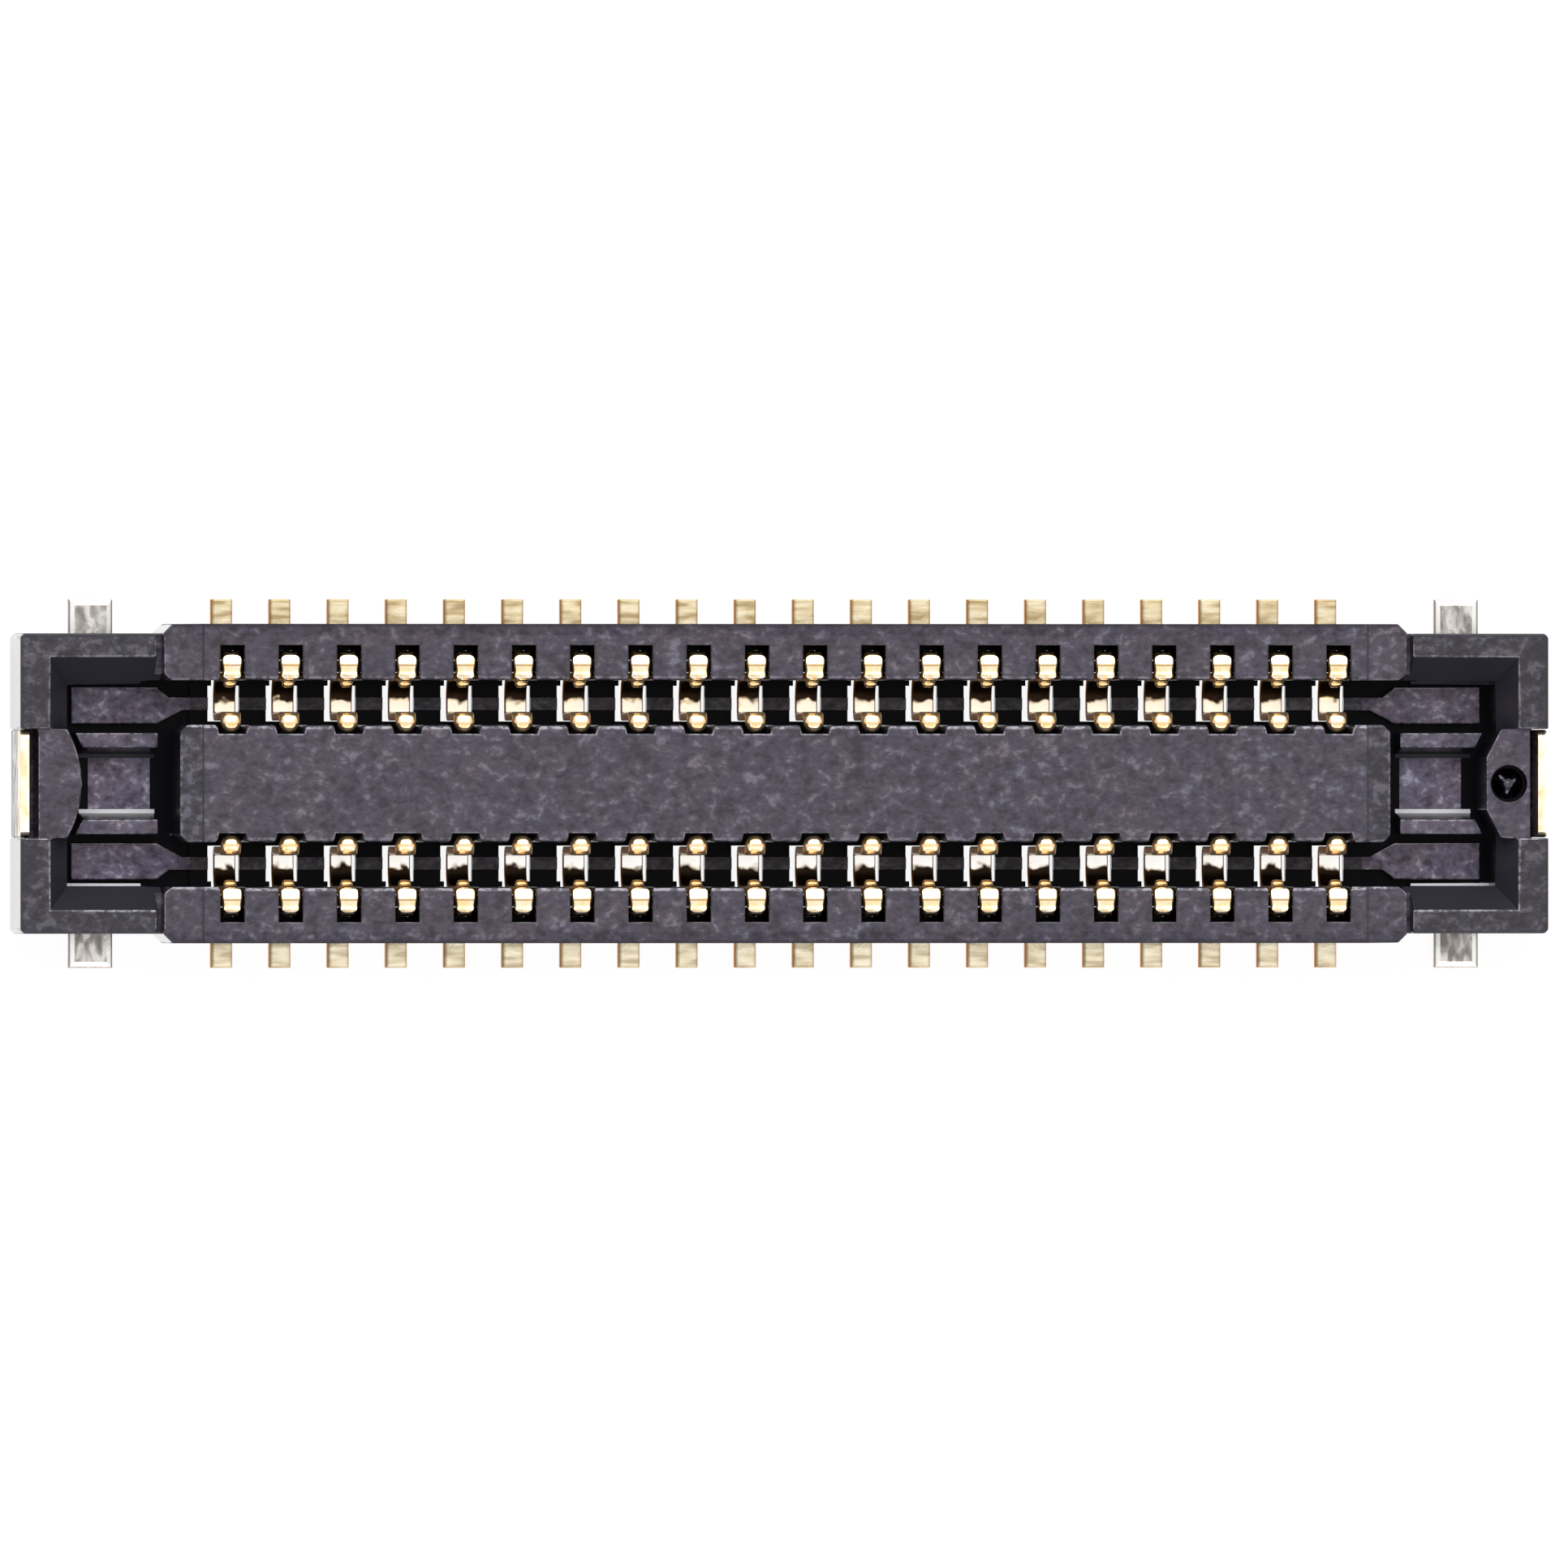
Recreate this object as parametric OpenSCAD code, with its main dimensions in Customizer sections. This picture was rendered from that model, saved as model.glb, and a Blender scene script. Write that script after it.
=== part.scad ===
// Board to board socket of 0.4 mm pitch: a moulded housing with two mating grooves,
// two rows of stamped contacts and a soldered hold-down at each end.
// Millimetres. The origin lies on the circuit board under the centre of the part.
// +X runs along the rows, +Y across them, +Z up from the board.

/* [Rows] */
// Contacts in each of the two rows
contacts_per_row = 20; // [6:1:28]
// Distance between neighbouring contacts
pitch = 0.40; // [0.36:0.01:0.5]

/* [Long body] */
// Height of the long walls and the island above the board
height = 0.80; // [0.76:0.01:1.0]
// Gap between the board and the underside of the housing
standoff = 0.03; // [0.01:0.005:0.04]
// Thickness of the floor where it is lowest
floor_t = 0.07; // [0.06:0.005:0.09]
// Width across the long walls
walls_w = 2.18; // [2.12:0.01:2.3]
// Thickness of each long wall
wall_t = 0.385; // [0.37:0.005:0.4]
// Length of the long walls past the rows
wall_past = 0.27; // [0.22:0.01:0.28]
// Chamfer on the outer corners of the long walls
wall_corner = 0.06; // [0.02:0.01:0.08]
// Chamfer on the inner corners of the long walls
wall_inner_corner = 0.045; // [0.01:0.005:0.06]
// Width of the groove on each side of the island
groove_w = 0.305; // [0.295:0.005:0.32]
// Length of the island past the rows
island_past = 0.157; // [0.1:0.001:0.18]
// Chamfer on the upright corners of the island
island_corner = 0.05; // [0.02:0.01:0.1]
// Chamfer along the upper edges of the grooves
lip = 0.022; // [0.01:0.002:0.03]
// Step that the mould's middle insert leaves in the upper faces
insert_step = 0.006; // [0.002:0.001:0.01]
// Distance of each floor rib's middle from the island
rib_set = 0.145; // [0.13:0.005:0.16]
// Height of the grooves' floor above the lowest floor
groove_floor_h = 0.065; // [0.05:0.005:0.075]
// Length of the grooves' raised floor past the rows
groove_floor_past = 0.03; // [0.01:0.01:0.05]
// Width of the rib along the floor of each groove
rib_w = 0.085; // [0.06:0.005:0.1]
// Height of the ribs and the side plates above the floor
rib_h = 0.09; // [0.06:0.01:0.12]

/* [End pockets] */
// Reach of the end frames past the rows
end_past = 1.25; // [1.2:0.01:1.4]
// Width across the end frames
frame_w = 2.05; // [2.0:0.01:2.08]
// Height of the end frames below the long walls
frame_drop = 0.04; // [0.02:0.01:0.08]
// Thickness of the side bars of the end frames at the top
frame_side_t = 0.155; // [0.12:0.005:0.17]
// Thickness of the end bars of the end frames at the top
frame_end_t = 0.20; // [0.18:0.005:0.22]
// Chamfer on the upright corners of the end frames
frame_corner = 0.025; // [0.01:0.005:0.04]
// Width of the notches between the long walls and the side bars
bar_notch_w = 0.045; // [0.02:0.005:0.06]
// Depth of those notches below the end frames' top
bar_notch_depth = 0.16; // [0.1:0.01:0.2]
// Run of the lead-in slope on the end bars
lead_in_run = 0.14; // [0.1:0.01:0.15]
// Run of the lead-in slope on the side bars
lead_in_side_run = 0.17; // [0.15:0.005:0.18]
// Height of the lead-in slope
lead_in_drop = 0.22; // [0.15:0.01:0.3]
// Run of the foot slopes along the pocket's side walls and in the trough
foot_run = 0.028; // [0.02:0.002:0.032]
// Height of the foot slopes
foot_h = 0.017; // [0.01:0.001:0.02]
// Gap between the side plates and the foot slopes beside them
plate_gap = 0.012; // [0.008:0.002:0.02]
// Width of the side plates
plate_w = 0.255; // [0.23:0.005:0.265]
// Distance of the side plates' ends past the rows
plate_past = 0.85; // [0.8:0.01:0.9]
// Start of the side plates past the rows
plate_start = 0.255; // [0.22:0.005:0.28]
// Run of the plates' outer neck, where they narrow to the ribs
neck_out_run = 0.08; // [0.05:0.01:0.12]
// Run of the plates' inner neck
neck_in_run = 0.17; // [0.1:0.01:0.22]
// Width of the plinth between the side plates
plinth_w = 0.694; // [0.66:0.002:0.72]
// Height of the plinth's two strips above the floor
plinth_h = 0.30; // [0.28:0.01:0.32]
// Width of each strip
strip_w = 0.102; // [0.09:0.002:0.12]
// Start of the strips past the rows
strip_start = 0.27; // [0.24:0.01:0.3]
// Depth of the trough between the strips
trough_depth = 0.28; // [0.2:0.01:0.28]
// Run of the trough's sides above the foot slopes
trough_slope = 0.042; // [0.02:0.002:0.06]
// Inset of the trough's floor from the start of the strips
trough_inset = 0.03; // [0.01:0.005:0.05]
// Length of the trough's floor
trough_len = 0.425; // [0.35:0.005:0.44]
// Gap between the plinth and the end boss
plinth_gap = 0.07; // [0.04:0.005:0.08]

/* [End bosses] */
// Width of the bosses on the end bars
boss_w = 0.745; // [0.7:0.005:0.8]
// Inner face of the bosses past the rows
boss_past = 0.825; // [0.81:0.005:0.85]
// Amount by which a boss falls back towards its sides
boss_fall = 0.10; // [0.06:0.01:0.12]
// Width of the flat inner face of the right boss
boss_flat_w = 0.36; // [0.2:0.01:0.4]
// Height of the bosses below the end frames
boss_drop = 0.03; // [0.01:0.01:0.06]
// Diameter of the round gate recess in the right boss
gate_d = 0.254; // [0.2:0.002:0.26]
// Depth of the gate recess
gate_depth = 0.08; // [0.04:0.01:0.12]
// Distance of the gate recess from the boss's inner face
gate_set = 0.155; // [0.15:0.001:0.16]
// Diameter of the gate's stub at its foot
stub_d = 0.10; // [0.06:0.01:0.12]
// Diameter of the stub where it broke off
stub_top_d = 0.06; // [0.04:0.01:0.08]
// Height of the stub
stub_h = 0.05; // [0.02:0.01:0.06]

/* [Contact seats] */
// Width of the pockets in the long walls
seat_w = 0.165; // [0.158:0.001:0.175]
// Depth of the pockets into the walls
seat_depth = 0.24; // [0.235:0.005:0.26]
// Height above the board at which the pockets widen
seat_step_z = 0.40; // [0.36:0.01:0.5]
// Clearance between the contacts and their seats
seat_clear = 0.005; // [0.002:0.001:0.008]
// Width of the slots in the floor under the contacts
slot_w = 0.215; // [0.2:0.005:0.24]
// Width of those slots in the underside
slot_foot_w = 0.265; // [0.25:0.005:0.28]
// Height above the board up to which the slots are wider
slot_foot_z = 0.11; // [0.08:0.01:0.12]
// Distance of those slots' outer ends from the long walls
slot_set = 0.037; // [0.02:0.001:0.05]
// Width of the notches in the island's sides at the mouth
notch_w = 0.21; // [0.19:0.005:0.23]
// Depth of those notches
notch_d = 0.06; // [0.045:0.005:0.07]
// Draft of the notches' sides
notch_draft = 0.014; // [0:0.002:0.02]

/* [Contacts] */
// Width of the contact strip
contact_w = 0.15; // [0.13:0.005:0.155]
// Width of the hump, the spring arm and the tip
spring_w = 0.14; // [0.12:0.001:0.15]
// Thickness of the contact strip
contact_t = 0.06; // [0.05:0.005:0.065]
// Reach of the tails past the long walls
tail_out = 0.17; // [0.1:0.01:0.3]
// Centreline radius of the bend above the tail
bend_r = 0.08; // [0.06:0.005:0.09]
// Width over both legs of the hump that straddles the wall's core
hump_w = 0.208; // [0.205:0.001:0.215]
// Centreline radius of the hump's two bends
hump_r = 0.048; // [0.04:0.001:0.05]
// Height of the hump below the long walls' top
hump_drop = 0.015; // [0.005:0.005:0.03]
// Amount by which the hump stands out of the wall into the groove
hump_proud = 0.008; // [0.004:0.001:0.012]
// Height of the retaining barbs on the outer leg
barb_h = 0.10; // [0.06:0.01:0.14]
// Height above the board at which the barbs begin
barb_z = 0.20; // [0.18:0.01:0.22]
// Height of the locking bead below the hump's top
bead_down = 0.185; // [0.16:0.005:0.25]
// Radius of the locking bead on the inner leg
bead_r = 0.045; // [0.042:0.001:0.048]
// Amount by which the bead stands out
bead_out = 0.04; // [0.03:0.001:0.042]
// Width of the locking bead
bead_w = 0.074; // [0.05:0.002:0.1]
// Gap between the board and the bottom of the contact's U
u_lift = 0.20; // [0.2:0.005:0.24]
// Centreline radius of the U's bend on the wall's side
u_out_r = 0.15; // [0.1:0.005:0.16]
// Centreline radius of the U's bend on the island's side
u_in_r = 0.042; // [0.035:0.001:0.06]
// Gap between the spring arm and the side of the island
arm_gap = 0.03; // [0.01:0.005:0.04]
// Centreline radius of the bend at the spring arm's tip
tip_r = 0.046; // [0.035:0.001:0.05]
// Height of the tip below the long walls' top
tip_drop = 0.07; // [0.04:0.01:0.12]
// Length of the tip past its bend
tip_len = 0.062; // [0.04:0.002:0.066]
// Corner chamfer of the tip
tip_corner = 0.036; // [0.01:0.002:0.04]
// Chamfer along the rolled edges of the contacts
contact_edge = 0.02; // [0.01:0.002:0.03]

/* [Hold-downs] */
// Thickness of the hold-down sheet
sheet_t = 0.06; // [0.05:0.005:0.08]
// Chamfer along the rolled edges of the bent part
sheet_edge = 0.01; // [0.005:0.005:0.02]
// Width of the soldering tabs
tab_w = 0.30; // [0.26:0.01:0.34]
// Width of the pressed border round the tabs' upper face
tab_border = 0.04; // [0.02:0.005:0.06]
// Depth to which that border is pressed at its edge
tab_press = 0.014; // [0.005:0.001:0.02]
// Middle of the tabs past the rows
tab_past = 0.70; // [0.66:0.01:0.74]
// Top of the end plate below the end frames
end_plate_drop = 0.05; // [0.02:0.01:0.1]
// Set-back of the end plate from the end faces
end_plate_set = 0.005; // [0:0.001:0.01]
// Radius of the end plate's upper corners
end_plate_corner = 0.06; // [0.03:0.01:0.1]
// Centreline radius of the bend under the end plate
sheet_bend_r = 0.05; // [0.04:0.005:0.06]
// Gap between the end plate and the boss behind it
relief_gap = 0.06; // [0.04:0.005:0.07]
// Height of the shoulder that the end plate leans on
relief_z = 0.35; // [0.25:0.01:0.45]
// Clearance round the sunken part of the sheet
sheet_clear = 0.005; // [0.002:0.001:0.008]

/* [Hidden] */
$fn = 48;
// Overshoot of every cut
over = 0.1;
row_len = contacts_per_row * pitch;
row_half = row_len / 2;
wall_half = row_half + wall_past;
end_half = row_half + end_past;
wall_out = walls_w / 2;
wall_in = wall_out - wall_t;
island_half_w = wall_in - groove_w;
island_w = 2 * island_half_w;
rib_y = island_half_w + rib_set;
floor_z = standoff + floor_t;
rib_z = floor_z + rib_h;
groove_z = floor_z + groove_floor_h;
frame_top = height - frame_drop;
// Inner edges of the end frames, at the top and below the lead-in slope
pocket_top_y = frame_w / 2 - frame_side_t;
pocket_top_x = end_half - frame_end_t;
pocket_y = pocket_top_y - lead_in_side_run;
pocket_x = pocket_top_x - lead_in_run;
lead_in_z = frame_top - lead_in_drop;
foot_y = pocket_y - foot_run;
foot_z = rib_z - foot_h;
plate_out_y = foot_y - plate_gap;
plate_in_y = plate_out_y - plate_w;
plinth_z = floor_z + plinth_h;
trough_z = plinth_z - trough_depth;
trough_top_y = plinth_w / 2 - strip_w;
trough_y = trough_top_y - trough_slope - foot_run;
boss_x = row_half + boss_past;
boss_top = frame_top - boss_drop;
boss_side_x = boss_x + boss_fall;
// Radius of an arc of the boss's width and fall
boss_arc_r = (pow(boss_w / 2, 2) + pow(boss_fall, 2)) / (2 * boss_fall);
// Contact, from the inside of the wall outwards
half_t = contact_t / 2;
leg_in_y = wall_in - hump_proud + half_t;
leg_out_y = leg_in_y + hump_w - contact_t;
tail_end = wall_out + tail_out;
bend_y = leg_out_y + bend_r;
bend_z = half_t + bend_r;
hump_z = height - hump_drop - half_t - hump_r;
hump_flat = hump_w - contact_t - 2 * hump_r;
arm_y = island_half_w + arm_gap + half_t;
arm_back_y = arm_y - half_t - seat_clear;
u_z = u_lift + half_t;
u_flat = leg_in_y - arm_y - u_out_r - u_in_r;
tip_z = height - tip_drop - half_t - tip_r;
bead_z = height - hump_drop - bead_down;
// Pocket in the wall and the core that the hump straddles
seat_y = wall_in + seat_depth;
core_in_y = leg_in_y + half_t + seat_clear;
core_out_y = leg_out_y - half_t - seat_clear;
core_top = hump_z;
leg_face_y = leg_out_y + half_t + seat_clear;
// Hold-down sheet, whose end plate fills the gap beside the boss
tab_x = row_half + tab_past;
end_plate_w = boss_w - 2 * sheet_clear;
plate_face_x = end_half - end_plate_set;
plate_back_x = plate_face_x - sheet_t;
sheet_bend_x = plate_back_x + sheet_t / 2 - sheet_bend_r;
sheet_bend_z = sheet_t / 2 + sheet_bend_r;
end_plate_top = frame_top - end_plate_drop;
boss_back_x = plate_back_x - relief_gap;

// Inner edge of the right boss at a distance from the centre line
function boss_edge(y) = boss_x + boss_fall * (2 * y - boss_flat_w) / (boss_w - boss_flat_w);
function contact_x(i) = (i - (contacts_per_row + 1) / 2) * pitch;
function two_digits(n) = n < 10 ? str("0", n) : str(n);
function contact_name(row, i) = str("contact_", row, two_digits(i));
function row_names(row) = [for (i = [1:contacts_per_row]) contact_name(row, i)];

// Rectangle about the origin with chamfered corners
module chamfered(len, w, corner) {
    x = len / 2;
    y = w / 2;
    polygon([
        [x - corner, y], [x, y - corner], [x, corner - y], [x - corner, -y],
        [corner - x, -y], [-x, corner - y], [-x, y - corner], [corner - x, y]
    ]);
}

// Prism along X from x0 to x1 whose outline is drawn in (y, z)
module along_x(x0, x1) {
    translate([x0, 0, 0])
        rotate([90, 0, 90])
            linear_extrude(x1 - x0) children();
}

// Prism along Y, centred, whose outline is drawn in (x, z)
module along_y(w) {
    rotate([90, 0, 0])
        linear_extrude(w, center = true) children();
}

// Prism between two heights whose outline is drawn in (x, y)
module between(z0, z1) {
    translate([0, 0, z0])
        linear_extrude(z1 - z0) children();
}

// Children and their mirror images in the other three quarters
module all_quarters() {
    for (mx = [0, 1])
        for (my = [0, 1])
            mirror([mx, 0, 0])
                mirror([0, my, 0]) children();
}

// Children at the right end and their mirror image at the left end
module both_ends() {
    for (mx = [0, 1])
        mirror([mx, 0, 0]) children();
}

// Cross-section of a strip about its centre line, chamfered along its right-hand edges
module strip_section(t, w, edge) {
    x = t / 2;
    y = w / 2;
    polygon([[x, -y], [x, y], [edge - x, y], [-x, y - edge], [-x, edge - y], [edge - x, -y]]);
}

// Bent sheet drawn as a path: each step is [length, width] for a straight stretch
// or [radius, angle, width] for a bend, to the left where the angle is positive.
// The path starts at the origin along +X, the sheet's width is along Z, and the
// children are drawn at the end of the path.
module bent_strip(steps, t, edge, i = 0) {
    if (i == len(steps)) {
        children();
    } else {
        step = steps[i];
        if (len(step) == 2) {
            along_x(0, step[0]) strip_section(t, step[1], edge);
            translate([step[0], 0, 0])
                bent_strip(steps, t, edge, i + 1) children();
        } else {
            side = sign(step[1]);
            translate([0, side * step[0], 0]) {
                mirror([0, side > 0 ? 0 : 1, 0])
                    rotate([0, 0, -90])
                        rotate_extrude(angle = abs(step[1]))
                            translate([step[0], 0])
                                mirror([side > 0 ? 1 : 0, 0]) strip_section(t, step[2], edge);
                rotate([0, 0, step[1]])
                    translate([0, -side * step[0], 0])
                        bent_strip(steps, t, edge, i + 1) children();
            }
        }
    }
}

// Long walls and end frames as one block with the mating space cut out
module outer_shell() {
    difference() {
        union() {
            between(standoff, height)
                chamfered(2 * wall_half, walls_w, wall_corner);
            between(standoff, frame_top)
                chamfered(2 * end_half, frame_w, frame_corner);
        }
        mating_space();
        both_ends() end_pocket();
        both_ends() bar_gap();
        all_quarters() inner_corner();
        all_quarters() bar_notch();
    }
}

// Space between the long walls, with a lip along its upper edges
module mating_space() {
    along_x(-wall_half - over, wall_half + over)
        polygon([
            [-wall_in, floor_z], [wall_in, floor_z], [wall_in, height - lip],
            [wall_in + lip + over, height + over], [-wall_in - lip - over, height + over],
            [-wall_in, height - lip]
        ]);
}

// Pocket at the right end, with a lead-in slope on its three sides and a foot slope on two
module end_pocket() {
    end_over = over * lead_in_run / lead_in_drop;
    side_over = over * lead_in_side_run / lead_in_drop;
    intersection() {
        along_x(wall_half, end_half)
            polygon([
                [-foot_y, floor_z], [foot_y, floor_z], [foot_y, foot_z], [pocket_y, rib_z],
                [pocket_y, lead_in_z], [pocket_top_y + side_over, frame_top + over],
                [-pocket_top_y - side_over, frame_top + over], [-pocket_y, lead_in_z],
                [-pocket_y, rib_z], [-foot_y, foot_z]
            ]);
        along_y(frame_w)
            polygon([
                [wall_half, floor_z], [pocket_x, floor_z], [pocket_x, lead_in_z],
                [pocket_top_x + end_over, frame_top + over], [wall_half, frame_top + over]
            ]);
    }
}

// Notch between a long wall's end and the side bar beyond it
module bar_notch() {
    translate([wall_half, foot_y, frame_top - bar_notch_depth])
        cube([bar_notch_w, frame_w / 2 - foot_y + over, bar_notch_depth + over]);
}

// Cut that lowers the right end bar to the level of its boss
module bar_gap() {
    translate([boss_x, -boss_w / 2, boss_top])
        cube([end_half - boss_x + over, boss_w, frame_drop + boss_drop + over]);
}

// Chamfer where a long wall's inner face meets its end
module inner_corner() {
    between(floor_z, height + over)
        polygon([
            [wall_half - wall_inner_corner, wall_in - over],
            [wall_half - wall_inner_corner, wall_in],
            [wall_half, wall_in + wall_inner_corner],
            [wall_half, wall_in - over]
        ]);
}

// Island between the grooves
module island() {
    island_half = row_half + island_past;
    intersection() {
        between(standoff, height)
            chamfered(2 * island_half, island_w, island_corner);
        along_x(-island_half, island_half)
            polygon([
                [-island_half_w, standoff], [island_half_w, standoff], [island_half_w, height - lip],
                [island_half_w - lip, height], [lip - island_half_w, height], [-island_half_w, height - lip]
            ]);
        along_y(island_w)
            polygon([
                [-island_half, standoff], [island_half, standoff], [island_half, height - lip],
                [island_half - lip, height], [lip - island_half, height], [-island_half, height - lip]
            ]);
    }
}

// Raised floor of the +Y groove along the rows
module groove_floor() {
    half = row_half + groove_floor_past;
    translate([-half, island_half_w, standoff])
        cube([2 * half, groove_w, groove_z - standoff]);
}

// Half of a floor rib with the side plate that it widens into
module rib_and_plate() {
    plate_x = row_half + plate_start;
    rib_out_y = rib_y + rib_w / 2;
    rib_in_y = rib_y - rib_w / 2;
    between(standoff, rib_z)
        polygon([
            [0, rib_in_y], [plate_x - neck_in_run, rib_in_y], [plate_x, plate_in_y],
            [row_half + plate_past, plate_in_y], [row_half + plate_past, plate_out_y],
            [plate_x, plate_out_y], [plate_x - neck_out_run, rib_out_y], [0, rib_out_y]
        ]);
}

// Plinth at the right end: two strips with a sloped trough between them
module plinth() {
    x0 = row_half + strip_start;
    side_x = boss_edge(plinth_w / 2) - plinth_gap;
    middle_x = boss_edge(trough_top_y) - plinth_gap;
    trough_x = x0 + trough_inset;
    difference() {
        between(standoff, plinth_z)
            polygon([
                [x0, -plinth_w / 2], [side_x, -plinth_w / 2], [middle_x, -trough_top_y],
                [middle_x, trough_top_y], [side_x, plinth_w / 2], [x0, plinth_w / 2]
            ]);
        along_x(x0 - over, boss_x)
            polygon([
                [-trough_y, trough_z], [trough_y, trough_z], [trough_y + foot_run, trough_z + foot_h],
                [trough_top_y, plinth_z], [trough_top_y, plinth_z + over],
                [-trough_top_y, plinth_z + over], [-trough_top_y, plinth_z],
                [-trough_y - foot_run, trough_z + foot_h]
            ]);
        trough_end(x0 - over, trough_x);
        trough_end(trough_x + trough_len, boss_x);
    }
}

// Cut that ends the trough's floor between two stations
module trough_end(x0, x1) {
    translate([x0, -trough_y, floor_z])
        cube([x1 - x0, 2 * trough_y, trough_depth + plinth_h]);
}

// Boss of the left end, with an arched inner face
module arched_boss() {
    mirror([1, 0, 0])
        intersection() {
            between(standoff, boss_top)
                translate([boss_x + boss_arc_r, 0])
                    circle(boss_arc_r, $fn = 96);
            between(standoff, boss_top)
                translate([boss_x, -boss_w / 2])
                    square([end_half - boss_x, boss_w]);
        }
}

// Boss of the right end, with a flat inner face between two slants
module slanted_boss() {
    between(standoff, boss_top)
        polygon([
            [end_half, -boss_w / 2], [end_half, boss_w / 2], [boss_side_x, boss_w / 2],
            [boss_x, boss_flat_w / 2], [boss_x, -boss_flat_w / 2], [boss_side_x, -boss_w / 2]
        ]);
}

// Round recess left by the mould's gate in the right boss
module gate_recess() {
    translate([boss_x + gate_set, 0, boss_top - gate_depth])
        cylinder(h = gate_depth + over, d = gate_d);
}

// Stub of the gate, left standing in that recess
module gate_stub() {
    translate([boss_x + gate_set, 0, boss_top - gate_depth])
        cylinder(h = stub_h, d1 = stub_d, d2 = stub_top_d);
}

// Thin cut that lowers the upper faces beyond the mould's insert, at the right end
module insert_cut() {
    translate([row_half, -wall_out - over, height - insert_step])
        cube([end_past, walls_w + 2 * over, insert_step + over]);
}

// Space for one contact of the +Y row: pocket over a core, floor slot and island notch
module contact_seat() {
    low = standoff - over;
    along_x(-seat_w / 2, seat_w / 2)
        polygon([
            [wall_in - over, low], [core_in_y, low], [core_in_y, core_top], [core_out_y, core_top],
            [core_out_y, low], [wall_out + over, low], [wall_out + over, contact_t + seat_clear],
            [bend_y, contact_t + seat_clear], [leg_face_y, bend_z], [leg_face_y, seat_step_z],
            [seat_y, seat_step_z], [seat_y, height + over], [wall_in - over, height + over]
        ]);
    floor_slot(slot_w, rib_z + over);
    floor_slot(slot_foot_w, slot_foot_z);
    between(rib_z, height + over)
        polygon([
            [-notch_w / 2, island_half_w + over], [-notch_w / 2, island_half_w],
            [notch_draft - notch_w / 2, island_half_w - notch_d],
            [notch_w / 2 - notch_draft, island_half_w - notch_d],
            [notch_w / 2, island_half_w], [notch_w / 2, island_half_w + over]
        ]);
}

// Slot of a given width through the groove's floor, from below up to a height
module floor_slot(w, top) {
    translate([-w / 2, arm_back_y, standoff - over])
        cube([w, wall_in - slot_set - arm_back_y, top - standoff + over]);
}

// Space for a hold-down in the underside and the end face, at the right end
module hold_down_seat() {
    bar_w = tab_w + 2 * sheet_clear;
    translate([tab_x - bar_w / 2, -tail_end, standoff - over])
        cube([bar_w, 2 * tail_end, sheet_t - standoff + over]);
    along_y(boss_w)
        polygon([
            [tab_x, standoff - over], [end_half + over, standoff - over], [end_half + over, height],
            [boss_back_x, height], [boss_back_x, relief_z], [plate_back_x, relief_z],
            [plate_back_x, sheet_bend_z], [sheet_bend_x, sheet_t], [tab_x, sheet_t]
        ]);
}

module housing() {
    color([0.30, 0.29, 0.33]) {
        difference() {
            union() {
                outer_shell();
                island();
                groove_floor();
                mirror([0, 1, 0]) groove_floor();
                all_quarters() rib_and_plate();
                both_ends() plinth();
                arched_boss();
                slanted_boss();
            }
            gate_recess();
            both_ends() insert_cut();
            both_ends() hold_down_seat();
            for (i = [1:contacts_per_row])
                for (my = [0, 1])
                    translate([contact_x(i), 0, 0])
                        mirror([0, my, 0]) contact_seat();
        }
        gate_stub();
    }
}

// Contact in the +Y row at x = 0: tail, leg with barbs, hump, inner leg, U bend, arm, tip
module contact_strip() {
    multmatrix([[0, 0, 1, 0], [-1, 0, 0, tail_end], [0, -1, 0, half_t], [0, 0, 0, 1]])
        bent_strip([
            [tail_end - bend_y, contact_w],
            [bend_r, -90, contact_w],
            [barb_z - bend_z, contact_w],
            [barb_h, seat_w],
            [hump_z - barb_z - barb_h, spring_w],
            [hump_r, 90, spring_w],
            [hump_flat, spring_w],
            [hump_r, 90, spring_w],
            [hump_z - u_z - u_out_r, spring_w],
            [u_out_r, -90, spring_w],
            [u_flat, spring_w],
            [u_in_r, -90, spring_w],
            [tip_z - u_z - u_in_r, spring_w],
            [tip_r, 90, spring_w]
        ], contact_t, contact_edge)
            tip_nose();
}

// Flat end of the spring arm with chamfered corners, from the origin along +X
module tip_nose() {
    z = spring_w / 2;
    intersection() {
        along_x(0, tip_len) strip_section(contact_t, spring_w, contact_edge);
        along_y(contact_t)
            polygon([
                [0, -z], [tip_len - tip_corner, -z], [tip_len, tip_corner - z],
                [tip_len, z - tip_corner], [tip_len - tip_corner, z], [0, z]
            ]);
    }
}

// Bead on the inner leg that locks the mating part
module locking_bead() {
    translate([0, leg_in_y - half_t + bead_r - bead_out, bead_z])
        rotate([0, 90, 0])
            cylinder(h = bead_w, r = bead_r, center = true);
}

module contact(i, side) {
    color([0.85, 0.68, 0.38])
        translate([contact_x(i), 0, 0])
            mirror([0, side > 0 ? 0 : 1, 0]) {
                contact_strip();
                locking_bead();
            }
}

// Hold-down at the right end: cross bar with two tabs, and a stem bent up into the end plate
module hold_down() {
    color([0.80, 0.79, 0.77]) {
        translate([tab_x, 0, 0])
            intersection() {
                along_x(-tab_w / 2, tab_w / 2) pressed_sheet(tail_end);
                along_y(2 * tail_end) pressed_sheet(tab_w / 2);
            }
        intersection() {
            translate([tab_x, 0, sheet_t / 2])
                rotate([90, 0, 0])
                    bent_strip([
                        [sheet_bend_x - tab_x, end_plate_w],
                        [sheet_bend_r, 90, end_plate_w],
                        [end_plate_top - sheet_bend_z, end_plate_w]
                    ], sheet_t, sheet_edge);
            along_x(tab_x, end_half)
                end_plate_outline();
        }
    }
}

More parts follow.
